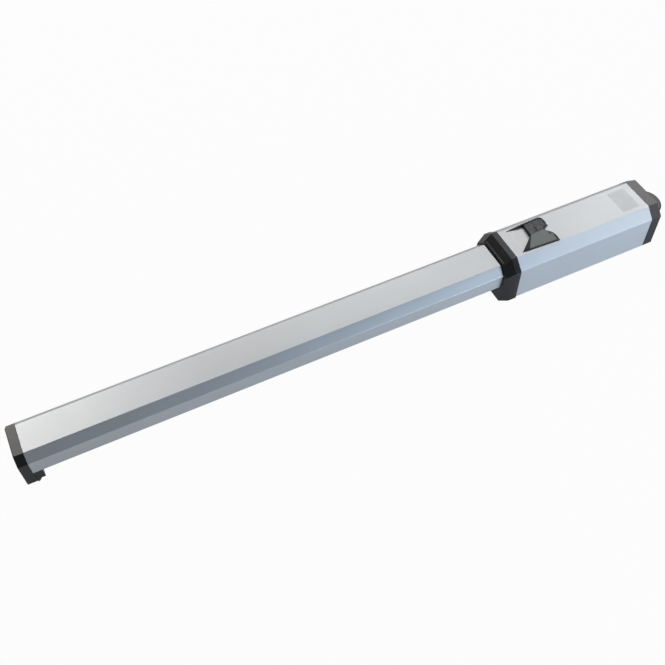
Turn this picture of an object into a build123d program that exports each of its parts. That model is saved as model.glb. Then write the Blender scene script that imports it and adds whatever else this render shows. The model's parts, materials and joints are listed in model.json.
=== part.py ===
from build123d import *
import os
from math import acos, cos, pi, radians, sin, sqrt, tan

# Hydraulic swing gate opener, drawn retracted, all sizes in millimetres.
# The origin is the centre of the rear pin bore. X runs along the ram towards the gate leaf,
# Y to the side and Z up. The ram, the motor and the drive gear share the X axis.

# Motor housing, a closed aluminium extrusion with chamfered top edges
housing_width = 90.0
housing_height = 79.0
housing_length = 246.5
housing_chamfer = 16.0
housing_wall = 3.0
housing_foot_radius = 3.0
housing_top = 39.0
screw_channel_radius = 4.5
channel_inset = 3.5
pin_to_housing = 31.5

# Rear mount and rear cap
rear_bore = 13.0
lug_thickness = 24.0
lug_radius = 29.0
lug_overhang = 18.0
lug_rib = 11.0
rear_plate_thickness = 8.0
rear_cap_length = 18.5
rear_cap_wall = 2.0
rear_cap_bevel = 1.0
rear_cap_screw_inset = 9.0
rear_cap_screw_height = -8.0
lug_edge_radius = 2.0
lug_opening_gap = 0.3
rib_place = 8.0
rib_thickness = 4.0

# Front collar, the black mouth that the ram cover slides out of
collar_proud = 1.8
collar_wall = 2.2
collar_length = 29.0
collar_crest = 9.5
collar_bevel_slope = 0.35
collar_lean = 7.0
collar_front_wall = 3.0
collar_foot_bevel = 1.5
mouth_clearance = 1.0

# Ram cover, a channel open underneath
cover_width = 72.0
cover_height = 37.0
cover_chamfer = 12.0
cover_wall = 2.5
cover_lip = 7.0
cover_drop = 11.3
cover_length = 741.5
cover_start = 24.0

# Front cap and the head that takes the gate pin
cap_thickness = 14.0
cap_drop = 27.0
cap_wall = 3.0
cap_corner_radius = 7.0
cap_edge_radius = 1.2
spigot_depth = 12.5
hook_inset = 2.0
hook_drop = 21.0
hook_step = 6.0
hook_bevel = 2.5
head_length = 45.0
head_width = 34.0
head_height = 34.0
front_bore = 12.1
front_bore_depth = 24.0
front_bore_from_end = 15.0
head_thread_depth = 18.0

# Cylinder, rod and piston
stroke = 400.0
rod_diameter = 20.0
rod_thread = 16.0
rod_tail = 14.0
barrel_bore = 38.0
barrel_wall = 3.5
barrel_length = 573.0
barrel_socket = 8.0
piston_start = 18.0
piston_length = 22.0
piston_nut_length = 10.0
gland_length = 26.0
gland_flange = 6.0
seal_ring_width = 6.0
seal_ring_depth = 4.0
guide_length = 20.0
locknut_length = 10.0
locknut_flats = 24.0

# Valve block and oil tank
block_width = 64.0
block_height = 56.0
block_length = 85.0
flange_thickness = 8.0
flange_inset = 0.5
tank_width = 60.0
tank_height = 48.0
tank_wall = 2.0
tank_corner = 8.0
tank_lip = 5.0
tank_end_thickness = 5.0
cartridge_diameter = 14.0
cartridge_depth = 18.0
cartridge_spread = 30.0
cartridge_place = 30.0
plug_place = 58.0
plug_diameter = 12.0
plug_depth = 12.0

# Gear pump
gear_module = 1.5
gear_teeth = 10
pressure_angle = 25.0
gear_addendum = 1.3
gear_dedendum = 1.6
gear_backlash = 0.12
gear_width = 12.0
pump_wall = 4.0
pump_end_thickness = 8.0
shaft_diameter = 8.0
shaft_in_block = 10.0

# Motor
motor_end_gap = 12.5
motor_diameter = 58.0
can_wall = 2.0
can_length = 54.0
shield_thickness = 6.0
lantern_length = 18.0
lantern_wall = 7.0
lantern_window = 24.0
lantern_window_length = 10.0
magnet_thickness = 4.6
magnet_arc = 130.0
air_gap = 0.6
core_length = 26.0
core_slots = 12
slot_width = 2.4
slot_depth = 9.0
winding_length = 6.0
commutator_diameter = 18.0
commutator_length = 8.0
commutator_bars = 12
brush_width = 5.0
brush_length = 9.0
bearing_diameter = 19.0
bearing_width = 5.0
coupling_diameter = 22.0
hub_thickness = 5.0
jaw_length = 4.0

# Release device: frame, ramp, lid and what lies under the lid
release_setback = 14.0
release_length = 65.5
release_front_half = 24.5
release_rear_half = 27.5
release_lobe_radius = 8.0
notch_depth = 9.0
notch_side = -1.5
notch_far_reach = 5.0
notch_near_reach = 11.0
notch_block = (-6.2, 12.1)
pocket_corner_radius = 2.0
frame_rim = 2.2
frame_rise = 2.4
frame_near_rise = 0.7
frame_rear_drop = 0.6
frame_floor = 1.6
lid_gap = 0.7
lid_wall = 1.8
lid_rise = 3.0
lid_ridge = 1.6
lid_break_setback = 28.0
lid_break_y = 1.0
lid_far_setback = 30.5
lid_edge_inset = 2.0
lid_near_rise = 0.8
lid_tip_rise = 0.3
beak_length = 14.0
lid_rear_round = 3.0
lid_skirt = 1.9
ramp_depth = 2.3
ramp_under_lid = 2.5
ramp_step = 12.0
ramp_gap = 0.5
lid_axis_inset = 7.0
lid_axis_drop = 1.3
lid_pin_diameter = 1.8
lid_swing_gap = 0.5
knuckle_diameter = 3.8
knuckle_place = 16.0
knuckle_width = 6.0
seat_wall = 1.0
latch_diameter = 11.5
latch_recess = 0.65
latch_inset = 21.9
latch_y = -6.7
latch_arm = 8.2
latch_arm_width = 5.0
latch_arm_thickness = 1.5
latch_arm_drop = 6.2
latch_slot = (1.6, 9.4, 2.0)
latch_wall = 1.5
catch_length = 10.0
catch_reach = 9.5
catch_thickness = 1.6
catch_gap = 0.5
stem_inset = 20.5
stem_y = 6.0
stem_diameter = 10.0
stem_depth = 20.0
stem_shoulder = 0.8
key_flats = 8.0
key_height = 4.0
key_corner = 1.0
bypass_insets = (27.5, 41.5)
bypass_y = 17.0
bypass_slot = (6.4, 1.2, 1.6)
stem_hole_clearance = 0.4
bypass_diameter = 8.0
bypass_depth = 16.0
bypass_tip = 3.0
bypass_head = 1.5

# Cable entry and terminals
cable_entry_inset = 21.0
cable_entry_z = -22.5
cable_thread = 12.0
cable_bore = 7.0
cable_nut_flats = 15.0
terminal_width = 27.0
terminal_depth = 10.0
terminal_height = 14.0
terminal_poles = 4
terminal_gap = 3.0

# Fits and screws
running_clearance = 0.05
seat_clearance = 0.1
slide_clearance = 0.4
screw_large = 5.0
screw_small = 3.0
hole_clearance = 0.2
mount_screw_length = 22.0
flange_screw_length = 22.0
cap_screw_length = 14.5
tank_screw_length = 12.0
pump_screw_grip = 7.0
front_screw_grip = 12.0
small_tap_depth = 9.0

# Places along X that follow from the sizes above
housing_front = pin_to_housing + housing_length
housing_bottom = housing_top - housing_height
cap_back = pin_to_housing - rear_cap_length
plate_back = pin_to_housing - rear_plate_thickness
collar_end = housing_front + collar_length
rear_cap_screw_side = housing_width / 2 - rear_cap_screw_inset
cable_entry_y = cable_entry_inset - housing_width / 2
cover_back = housing_front + cover_start
cover_front = cover_back + cover_length
cover_top = housing_top - cover_drop
cover_bottom = cover_top - cover_height
cap_front = cover_front + cap_thickness
cap_bottom = cover_bottom - cap_drop
spigot_back = cover_front - spigot_depth
head_front = spigot_back
head_back = head_front - head_length
front_pin_x = head_front - front_bore_from_end
rod_end = head_back + head_thread_depth
locknut_back = head_back - locknut_length
rod_radius = rod_diameter / 2
barrel_radius = barrel_bore / 2 + barrel_wall
barrel_back = housing_front - barrel_socket
barrel_front = barrel_back + barrel_length
piston_back = barrel_back + piston_start
piston_front = piston_back + piston_length
gland_back = barrel_front - gland_length
gland_front = barrel_front + gland_flange
block_back = housing_front - block_length
flange_front = housing_front + flange_thickness
bell_back = pin_to_housing + motor_end_gap
can_back = bell_back + shield_thickness
can_front = can_back + can_length
shield_front = can_front + shield_thickness
tank_back = shield_front + lantern_length
pump_back = block_back - gear_width
pump_end_back = pump_back - pump_end_thickness
pitch_radius = gear_module * gear_teeth / 2
gear_offset = -2 * pitch_radius
tip_radius = pitch_radius + gear_addendum
shaft_radius = shaft_diameter / 2
commutator_back = can_back + 1.0
winding_back = commutator_back + commutator_length + 1.0
core_back = winding_back + winding_length
core_front = core_back + core_length
bolt_radius = motor_diameter / 2 - lantern_wall / 2
release_front = housing_front - release_setback
release_rear = release_front - release_length
lid_break_x = release_front - lid_break_setback
lid_far_x = release_front - lid_far_setback
lid_axis_x = release_rear + lid_axis_inset
latch_x = release_rear + latch_inset
stem_x = release_rear + stem_inset
bypass_x = [release_rear + inset for inset in bypass_insets]
frame_top = housing_top + frame_rise
frame_bottom = block_height / 2 + seat_clearance
pocket_floor = frame_bottom + frame_floor
lid_axis_z = housing_top - lid_axis_drop
lid_top = housing_top + lid_rise
lid_low = lid_axis_z - lid_skirt


def prism_x(section, x0, x1):
    """A section drawn in Y and Z, drawn out from x0 to x1."""
    return extrude(Plane.YZ.offset(x0) * section, x1 - x0, dir=(1, 0, 0))


def prism_y(outline, y0, y1):
    """An outline drawn in X and Z, drawn out from y0 to y1."""
    return extrude(Plane.XZ.offset(-y0) * outline, y1 - y0, dir=(0, 1, 0))


def prism_z(outline, z0, z1):
    """An outline drawn in X and Y, drawn out from z0 to z1."""
    return extrude(Plane.XY.offset(z0) * outline, z1 - z0, dir=(0, 0, 1))


def outline_of(*points):
    return Polygon(*points, align=None)


def box_of(x0, x1, y0, y1, z0, z1):
    return Pos((x0 + x1) / 2, (y0 + y1) / 2, (z0 + z1) / 2) * Box(x1 - x0, y1 - y0, z1 - z0)


def turned_x(*points):
    """A piece turned about the X axis from (x, radius) points."""
    return revolve(outline_of(*points), Axis.X)


def ring_x(outer, inner, x0, x1):
    return turned_x((x0, inner), (x1, inner), (x1, outer), (x0, outer))


def rod_x(radius, x0, x1):
    return turned_x((x0, 0), (x1, 0), (x1, radius), (x0, radius))


def rod_z(radius, x, y, z0, z1):
    return Pos(x, y, (z0 + z1) / 2) * Cylinder(radius, z1 - z0)


def at_yz(y, z):
    return Pos(0, y, z)


def group(pieces):
    return Compound(children=list(pieces))


def write(name, shape):
    export_step(shape, f"parts/{name}.step")


def cap_screw(size, x0, length, reverse=False):
    """A socket head screw along X: the seat of its head is at x0 and its shank points to -X, or +X."""
    head = 0.85 * size
    shank = 0.41 * size
    screw = turned_x((0, 0), (-length, 0), (-length, shank), (0, shank), (0, head), (size, head), (size, 0))
    screw -= prism_x(RegularPolygon(0.48 * size, 6), 0.45 * size, size + 1)
    if reverse:
        screw = Rot(0, 0, 180) * screw
    return Pos(x0, 0, 0) * screw


def tapped(size):
    """Radius of a tapped hole for a screw of this size."""
    return 0.42 * size


def drilled(size):
    """Radius of a hole that a screw of this size passes through."""
    return size / 2 + hole_clearance


def four_corners(half_y, half_z):
    return [(sy * half_y, sz * half_z) for sy in (1, -1) for sz in (1, -1)]


def housing_section(grow=0.0):
    """The outline of the housing, moved outwards by grow."""
    half = housing_width / 2
    section = outline_of(
        (-half, housing_bottom),
        (half, housing_bottom),
        (half, housing_top - housing_chamfer),
        (half - housing_chamfer, housing_top),
        (housing_chamfer - half, housing_top),
        (-half, housing_top - housing_chamfer),
    )
    section = fillet(section.vertices().group_by(Axis.Y)[0], housing_foot_radius)
    return offset(section, grow, kind=Kind.INTERSECTION) if grow else section


def cover_section(grow=0.0):
    """The outline of the ram cover, moved outwards by grow."""
    half = cover_width / 2
    section = outline_of(
        (-half, cover_bottom),
        (half, cover_bottom),
        (half, cover_top - cover_chamfer),
        (half - cover_chamfer, cover_top),
        (cover_chamfer - half, cover_top),
        (-half, cover_top - cover_chamfer),
    )
    return offset(section, grow, kind=Kind.INTERSECTION) if grow else section


def channel_places():
    """Centres of the four screw channels in the corners of the housing."""
    side = housing_width / 2 - housing_wall - channel_inset
    low = housing_bottom + housing_wall + channel_inset
    diagonal = housing_width / 2 + housing_top - housing_chamfer - (housing_wall + channel_inset) * sqrt(2)
    high = diagonal - side
    return [(side, low), (-side, low), (side, high), (-side, high)]


# Release outlines, shared by the housing, the frame, the ramp and the lid

def release_outline(inset=0.0):
    """The two-lobed outline of the release device in plan, with a notch between the lobes."""
    outline = outline_of(
        (release_front, -release_front_half),
        (release_rear, -release_rear_half),
        (release_rear, notch_side - notch_far_reach),
        (release_rear + notch_depth, notch_side),
        (release_rear, notch_side + notch_near_reach),
        (release_rear, release_rear_half),
        (release_front, release_front_half),
    )
    corners = outline.vertices()
    far_corner = corners.sort_by_distance((release_rear, -release_rear_half))[0]
    outline = fillet(far_corner, release_lobe_radius)
    lobe_corner = outline.vertices().sort_by_distance((release_rear, notch_side + notch_near_reach))[0]
    outline = fillet(lobe_corner, release_lobe_radius)
    return offset(outline, -inset, kind=Kind.INTERSECTION) if inset else outline


def lid_front_line(shift=0.0):
    """Everything behind the front edge of the lid, straight on the far side and slanting on the near side."""
    half = release_rear_half
    slant = (lid_break_setback - lid_edge_inset) / (release_front_half - lid_edge_inset - lid_break_y)
    tip = lid_break_x + slant * (half - lid_break_y)
    return outline_of(
        (release_rear - 1, -half),
        (release_rear - 1, half),
        (tip - shift, half),
        (lid_break_x - shift, lid_break_y),
        (lid_far_x - shift, -half),
    )


def above(first, second, third, drop):
    """Everything just above the plane through three points, with the plane lowered by drop."""
    origin = Vector(*first) - Vector(0, 0, drop)
    along = Vector(*second) - Vector(*first)
    normal = along.cross(Vector(*third) - Vector(*first))
    if normal.Z < 0:
        normal = -normal
    reach = 4 * release_length
    slab = Pos(0, 0, housing_chamfer / 2) * Box(reach, reach, housing_chamfer)
    return Plane(origin=origin, x_dir=along, z_dir=normal) * slab


def near_facet_height(x, y):
    """Height of the facet that slopes down from the ridge to the near side."""
    lean = (lid_break_y - notch_side) / (lid_break_x - release_rear)
    ridge_y = notch_side + lean * (x - release_rear)
    fall = (lid_rise - lid_near_rise) / (release_front_half - lid_break_y)
    return lid_top - fall * (y - ridge_y)


def lid_envelope(inset=0.0):
    """The outer form of the lid: its plan under two roof facets and the beak that falls to its near tip."""
    plan = release_outline(frame_rim + lid_gap + inset) & lid_front_line(inset)
    rear = release_rear + frame_rim + lid_gap + inset
    skirt = lid_low - inset
    top = lid_top - inset
    side = outline_of((rear, skirt), (rear, top), (release_front, top), (release_front, skirt))
    rear_top = side.vertices().sort_by_distance((rear, lid_top))[0]
    side = fillet(rear_top, lid_rear_round)
    block = prism_z(plan, skirt, lid_top + 1)
    block &= prism_y(side, -release_rear_half, release_rear_half)
    notch_end = (release_rear, notch_side, lid_top)
    corner = (lid_break_x, lid_break_y, lid_top)
    half = release_front_half
    near = (lid_break_x, half, near_facet_height(lid_break_x, half))
    far = (lid_break_x, -half, lid_top - lid_ridge)
    beak_x = release_front - beak_length
    beak_side = (beak_x, half, near_facet_height(beak_x, half))
    tip = (release_front - lid_edge_inset, half - lid_edge_inset, housing_top + lid_tip_rise)
    block -= above(notch_end, corner, near, inset)
    block -= above(notch_end, corner, far, inset)
    return block - above(corner, tip, beak_side, inset)


# Housing and its ends

def make_motor_housing():
    section = housing_section() - housing_section(-housing_wall)
    places = channel_places()
    for y, z in places:
        section += Pos(y, z) * Circle(screw_channel_radius)
    section = section & housing_section()
    for y, z in places:
        section -= Pos(y, z) * Circle(tapped(screw_large))
    body = prism_x(section, pin_to_housing, housing_front)
    cut = prism_z(release_outline(-seat_clearance), pocket_floor - 4, housing_top + 1)
    return body - cut


def make_rear_mount():
    plate = prism_x(housing_section(-rear_cap_wall - seat_clearance), plate_back, pin_to_housing)
    centre = lug_radius - lug_overhang
    lug_plan = Pos(centre, 0) * Circle(lug_radius)
    lug_plan += Pos((centre + plate_back) / 2, 0) * Rectangle(plate_back - centre, 2 * lug_radius)
    lug = prism_z(lug_plan, -lug_thickness / 2, lug_thickness / 2)
    lug &= box_of(-lug_overhang, plate_back, -lug_radius, lug_radius, -lug_thickness, lug_thickness)
    rim = lug.edges().filter_by(GeomType.CIRCLE)
    lug = fillet(rim, lug_edge_radius)
    mount = plate + lug
    low = -lug_thickness / 2
    rib = outline_of((plate_back, low - lug_rib), (plate_back, low), (plate_back - lug_rib / 2, low))
    for side in (rib_place, -rib_place):
        mount += prism_y(rib, side - rib_thickness / 2, side + rib_thickness / 2)
    mount -= rod_z(rear_bore / 2, 0, 0, -lug_thickness, lug_thickness)
    for y, z in channel_places():
        mount -= at_yz(y, z) * rod_x(drilled(screw_large), plate_back - 1, pin_to_housing + 1)
    for y in (rear_cap_screw_side, -rear_cap_screw_side):
        hole = rod_x(tapped(screw_small), plate_back - 1, pin_to_housing + 1)
        mount -= at_yz(y, rear_cap_screw_height) * hole
    mount -= at_yz(cable_entry_y, cable_entry_z) * rod_x(cable_thread / 2 + seat_clearance, plate_back - 1,
                                                         pin_to_housing + 1)
    return mount


def make_rear_cap():
    cap = prism_x(housing_section(), cap_back, pin_to_housing)
    back_edges = cap.faces().sort_by(Axis.X)[0].edges()
    cap = chamfer(back_edges, rear_cap_bevel)
    cap -= prism_x(housing_section(-rear_cap_wall), cap_back + rear_cap_wall, pin_to_housing + 1)
    opening = Rectangle(2 * (lug_radius + lug_opening_gap), lug_thickness + 2 * lug_opening_gap)
    cap -= prism_x(opening, cap_back - 1, cap_back + rear_cap_wall + 1)
    entry = rod_x(cable_nut_flats / 2 + 2.5, cap_back - 1, cap_back + rear_cap_wall + 1)
    cap -= at_yz(cable_entry_y, cable_entry_z) * entry
    for y in (rear_cap_screw_side, -rear_cap_screw_side):
        post = ring_x(screw_small + 1, drilled(screw_small), cap_back + rear_cap_wall, plate_back)
        cap += at_yz(y, rear_cap_screw_height) * post
        cap -= at_yz(y, rear_cap_screw_height) * rod_x(drilled(screw_small), cap_back - 1, plate_back)
    return cap


def make_rear_screws():
    screw = cap_screw(screw_large, 0, mount_screw_length, reverse=True)
    return group(Pos(plate_back, y, z) * screw for y, z in channel_places())


def make_rear_cap_screws():
    screw = cap_screw(screw_small, 0, cap_screw_length, reverse=True)
    places = (rear_cap_screw_side, -rear_cap_screw_side)
    return group(Pos(cap_back, y, rear_cap_screw_height) * screw for y in places)


# Front collar

def collar_form(inset, front):
    """The outer form of the collar, with every wall moved inwards by inset."""
    body = prism_x(housing_section(collar_proud - inset), housing_front, front)
    crest = housing_front + collar_crest
    drop = inset * sqrt(1 + collar_bevel_slope**2)
    facet = (housing_width / 2 + housing_top - housing_chamfer) / sqrt(2)
    side = housing_width / 2
    for turn, distance in ((0, housing_top), (45, facet), (-45, facet), (90, side), (-90, side)):
        height = distance + collar_proud - drop
        run = collar_length
        wedge = outline_of(
            (crest - run, height + run * collar_bevel_slope),
            (crest + run, height - run * collar_bevel_slope),
            (crest + run, height + run * collar_bevel_slope),
        )
        body -= Rot(turn, 0, 0) * prism_y(wedge, -housing_width, housing_width)
    return body


def leaning_front(back):
    """The space in front of the collar, whose front leans back at the top."""
    reach = 2 * housing_height
    lean = collar_lean * reach / housing_height
    low = housing_bottom
    front = collar_end - back
    outline = outline_of((front, low), (front - lean, low + reach), (front + lean, low + reach),
                         (front + lean, low - reach), (front, low - reach))
    return prism_y(outline, -housing_width, housing_width)


def make_front_collar():
    collar = collar_form(0, collar_end) - leaning_front(0)
    front_edges = collar.faces().sort_by(Axis.X)[-1].edges()
    lower_edges = front_edges.filter_by(lambda edge: edge.center().Z < 0)
    collar = chamfer(lower_edges, collar_foot_bevel)
    collar -= collar_form(collar_wall, collar_end) - leaning_front(collar_front_wall)
    collar -= prism_x(cover_section(mouth_clearance), housing_front, collar_end + 1)
    collar -= rod_x(barrel_radius + mouth_clearance, housing_front, collar_end + 1)
    return collar


# Valve block, tank and pump

def make_valve_block():
    section = RectangleRounded(block_width, block_height, 4)
    block = prism_x(section, block_back, housing_front)
    block += prism_x(housing_section(-flange_inset), housing_front, flange_front)
    block -= rod_x(barrel_radius, barrel_back, flange_front + 1)
    # The piston chamber ends in a short recess with the oil port
    block -= rod_x(barrel_bore / 2 - 4, barrel_back - 4, barrel_back + 1)
    block -= rod_x(3.0, block_back + shaft_in_block + 8, barrel_back)
    for y in (0, gear_offset):
        bore = rod_x(shaft_radius + running_clearance, block_back - 1, block_back + shaft_in_block + 1)
        block -= at_yz(y, 0) * bore
    for y, z in channel_places():
        block -= at_yz(y, z) * rod_x(drilled(screw_large), housing_front - 1, flange_front + 1)
        block -= at_yz(y, z) * rod_x(0.85 * screw_large + 0.3, flange_front - screw_large, flange_front + 1)
    for y, z in pump_screw_places():
        block -= at_yz(y, z) * rod_x(tapped(screw_small), block_back - 1, block_back + small_tap_depth)
    for y, z in tank_screw_places():
        block -= at_yz(y, z) * rod_x(tapped(screw_small), block_back - 1, block_back + small_tap_depth)
    top = block_height / 2
    block -= rod_z(stem_diameter / 2 + running_clearance, stem_x, stem_y, top - stem_depth, top + 1)
    for x in bypass_x:
        block -= rod_z(bypass_diameter / 2 + running_clearance, x, bypass_y, top - bypass_depth, top + 1)
    for sy in (1, -1):
        x = block_back + cartridge_place
        block -= rod_z(cartridge_diameter / 2, x, sy * cartridge_spread / 2, -top - 1, -top + cartridge_depth)
    plug_x = block_back + plug_place
    block -= rod_z(plug_diameter / 2, plug_x, 0, -top - 1, -top + plug_depth)
    return block


def tank_screw_places():
    return four_corners(block_width / 2 - 3.5, block_height / 2 - 3.5)


def pump_screw_places():
    reach = tip_radius + pump_wall - 3.5
    return [(y, z) for y in (reach, gear_offset - reach) for z in (tip_radius + 1.5, -tip_radius - 1.5)]


def make_oil_tank():
    section = RectangleRounded(tank_width, tank_height, tank_corner)
    inner = RectangleRounded(tank_width - 2 * tank_wall, tank_height - 2 * tank_wall, tank_corner - tank_wall)
    tank = prism_x(section, tank_back, block_back)
    tank += prism_x(RectangleRounded(block_width, block_height, 4), block_back - tank_lip, block_back)
    tank += rod_x(motor_diameter / 2 - 1, tank_back, tank_back + tank_end_thickness)
    tank -= prism_x(inner, tank_back + tank_end_thickness, block_back + 1)
    tank -= rod_x(shaft_radius + 1, tank_back - 1, tank_back + tank_end_thickness + 1)
    seal_seat = rod_x(shaft_radius + 5, tank_back + 1, tank_back + tank_end_thickness + 1)
    tank -= seal_seat
    for y, z in tank_screw_places():
        tank -= at_yz(y, z) * rod_x(drilled(screw_small), block_back - tank_lip - 1, block_back + 1)
    for z in (bolt_radius, -bolt_radius):
        tank -= at_yz(0, z) * rod_x(tapped(screw_small), tank_back - 1, tank_back + tank_end_thickness - 1)
    return tank


def make_tank_screws():
    screw = cap_screw(screw_small, 0, tank_screw_length, reverse=True)
    return group(Pos(block_back - tank_lip, y, z) * screw for y, z in tank_screw_places())


def make_shaft_seal():
    inner = shaft_radius + running_clearance
    return ring_x(shaft_radius + 5, inner, tank_back + 1, tank_back + tank_end_thickness)


def pump_outline():
    half = tip_radius + pump_wall
    width = 2 * half - gear_offset
    return Pos(gear_offset / 2, 0) * RectangleRounded(width, 2 * half + 2, 4)


def make_pump_body():
    body = prism_x(pump_outline(), pump_back, block_back)
    for y in (0, gear_offset):
        body -= at_yz(y, 0) * rod_x(tip_radius + running_clearance, pump_back - 1, block_back + 1)
    for y, z in pump_screw_places():
        body -= at_yz(y, z) * rod_x(drilled(screw_small), pump_back - 1, block_back + 1)
    return body


def make_pump_end_plate():
    plate = prism_x(pump_outline(), pump_end_back, pump_back)
    for y in (0, gear_offset):
        bore = rod_x(shaft_radius + running_clearance, pump_end_back - 1, pump_back + 1)
        plate -= at_yz(y, 0) * bore
    for y, z in pump_screw_places():
        plate -= at_yz(y, z) * rod_x(drilled(screw_small), pump_end_back - 1, pump_back + 1)
    return plate


def make_pump_screws():
    length = block_back - pump_end_back + pump_screw_grip
    screw = cap_screw(screw_small, 0, length, reverse=True)
    return group(Pos(pump_end_back, y, z) * screw for y, z in pump_screw_places())


def involute(angle):
    return tan(angle) - angle


def gear_face(turn):
    """An involute gear outline whose first tooth points at the angle turn."""
    base = pitch_radius * cos(radians(pressure_angle))
    root = pitch_radius - gear_dedendum
    half_tooth = (pi * gear_module / 2 - gear_backlash) / 2 / pitch_radius
    half_base = half_tooth + involute(radians(pressure_angle))
    steps = 4
    radii = [base + (tip_radius - base) * k / steps for k in range(steps + 1)]

    def place(radius, angle):
        return (radius * cos(angle), radius * sin(angle))

    edges = []
    for tooth in range(gear_teeth):
        centre = turn + 2 * pi * tooth / gear_teeth
        rising = [place(r, centre - half_base + involute(acos(base / r))) for r in radii]
        falling = [place(r, centre + half_base - involute(acos(base / r))) for r in reversed(radii)]
        gap = 2 * pi / gear_teeth - 2 * half_base
        foot = place(root, centre - half_base)
        far_foot = place(root, centre + half_base)
        next_foot = place(root, centre + half_base + gap)
        edges.append(Line(foot, rising[0]))
        edges.append(Spline(*rising))
        edges.append(ThreePointArc(rising[-1], place(tip_radius, centre), falling[0]))
        edges.append(Spline(*falling))
        edges.append(Line(falling[-1], far_foot))
        edges.append(ThreePointArc(far_foot, place(root, centre + half_base + gap / 2), next_foot))
    return make_face(edges)


def make_drive_gear():
    gap = running_clearance
    gear = prism_x(gear_face(pi), pump_back + gap, block_back - gap)
    shaft_start = shield_front + hub_thickness + jaw_length + 1
    return gear + rod_x(shaft_radius, shaft_start, block_back + shaft_in_block)


def make_driven_gear():
    gap = running_clearance
    gear = prism_x(gear_face(pi / gear_teeth), pump_back + gap, block_back - gap)
    gear += rod_x(shaft_radius, pump_end_back + 1, block_back + shaft_in_block)
    return at_yz(gear_offset, 0) * gear


# Motor

def make_motor_lantern():
    lantern = ring_x(motor_diameter / 2, motor_diameter / 2 - lantern_wall, shield_front, tank_back)
    middle = (shield_front + tank_back) / 2
    window = Pos(middle, 0) * Box(lantern_window_length, 2 * motor_diameter, lantern_window)
    lantern -= window
    for z in (bolt_radius, -bolt_radius):
        lantern -= at_yz(0, z) * rod_x(drilled(screw_small), shield_front - 1, tank_back + 1)
    return lantern


def make_shield(x0, x1, bearing_x0, bearing_x1):
    """An end shield from x0 to x1 with a seat for one bearing."""
    shield = rod_x(motor_diameter / 2, x0, x1)
    shield -= rod_x(shaft_radius + 1.5, x0 - 1, x1 + 1)
    shield -= rod_x(bearing_diameter / 2, bearing_x0, bearing_x1)
    for z in (bolt_radius, -bolt_radius):
        shield -= at_yz(0, z) * rod_x(drilled(screw_small), x0 - 1, x1 + 1)
    return shield


def make_front_shield():
    return make_shield(can_front, shield_front, can_front - 1, can_front + bearing_width)


def make_rear_bell():
    bell = make_shield(bell_back, can_back, can_back - bearing_width, can_back + 1)
    return bell


def make_motor_bearings():
    outer = bearing_diameter / 2
    inner = shaft_radius + running_clearance
    front = ring_x(outer, inner, can_front, can_front + bearing_width)
    rear = ring_x(outer, inner, can_back - bearing_width, can_back)
    return group([rear, front])


def make_motor_can():
    return ring_x(motor_diameter / 2, motor_diameter / 2 - can_wall, can_back, can_front)


def make_motor_magnets():
    outer = motor_diameter / 2 - can_wall
    shell = ring_x(outer, outer - magnet_thickness, core_back - 2, core_front + 2)
    half = radians(magnet_arc / 2)
    reach = 2 * motor_diameter
    sector = outline_of(
        (0, 0),
        (reach * cos(half), -reach * sin(half)),
        (reach * cos(half), reach * sin(half)),
    )
    wedge = prism_x(sector, core_back - 3, core_front + 3)
    magnet = shell & wedge
    return group([magnet, Rot(180, 0, 0) * magnet])


def core_radius():
    return motor_diameter / 2 - can_wall - magnet_thickness - air_gap


def make_motor_shaft():
    end = shield_front + hub_thickness
    return rod_x(shaft_radius, bell_back + 1, end)


def make_armature_core():
    section = Circle(core_radius()) - Circle(shaft_radius)
    slot_centre = core_radius() - slot_depth / 2 + 0.5
    for k in range(core_slots):
        section -= Rot(0, 0, 360 * k / core_slots) * Pos(slot_centre, 0) * Rectangle(slot_depth, slot_width)
    return prism_x(section, core_back, core_front)


def make_armature_windings():
    outer = core_radius() - 1.5
    inner = shaft_radius + 2.5
    step = 2.0
    rear = turned_x(
        (winding_back, inner),
        (core_back, inner),
        (core_back, outer),
        (winding_back + step, outer),
        (winding_back, outer - step),
    )
    front_end = core_front + winding_length
    front = turned_x(
        (core_front, inner),
        (front_end, inner),
        (front_end, outer - step),
        (front_end - step, outer),
        (core_front, outer),
    )
    return group([rear, front])


def make_commutator():
    radius = commutator_diameter / 2
    section = Circle(radius) - Circle(shaft_radius)
    for k in range(commutator_bars):
        section -= Rot(0, 0, 360 * (k + 0.5) / commutator_bars) * Pos(radius, 0) * Rectangle(2.0, 0.6)
    return prism_x(section, commutator_back, commutator_back + commutator_length)


def make_brush_plate():
    outer = motor_diameter / 2 - can_wall
    plate = ring_x(outer, commutator_diameter / 2 + 1.0, can_back, can_back + 1.5)
    middle = can_back + 1.5 + brush_width / 2 + 0.5
    reach = commutator_diameter / 2 + running_clearance
    for sy in (1, -1):
        low, high = sorted((sy * (reach + 2), sy * (outer - 2)))
        holder = box_of(can_back + 1.5, middle + brush_width / 2 + 1.5, low, high, -4, 4)
        holder -= box_of(middle - brush_width / 2, middle + brush_width / 2, low - 1, high + 1, -3, 3)
        plate += holder
    for z in (bolt_radius, -bolt_radius):
        plate -= at_yz(0, z) * rod_x(drilled(screw_small), can_back - 1, can_back + 3)
    return plate


def make_carbon_brushes():
    middle = can_back + 1.5 + brush_width / 2 + 0.5
    reach = commutator_diameter / 2 + running_clearance
    brushes = []
    for sy in (1, -1):
        low, high = sorted((sy * reach, sy * (reach + brush_length)))
        brush = box_of(middle - brush_width / 2, middle + brush_width / 2, low, high, -3, 3)
        brush -= rod_x(reach, can_back, middle + brush_width)
        brushes.append(brush)
    return group(brushes)


def make_motor_bolts():
    length = tank_back + tank_end_thickness - 2 - bell_back
    bolt = cap_screw(screw_small, 0, length, reverse=True)
    return group(Pos(bell_back, 0, z) * bolt for z in (bolt_radius, -bolt_radius))


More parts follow.
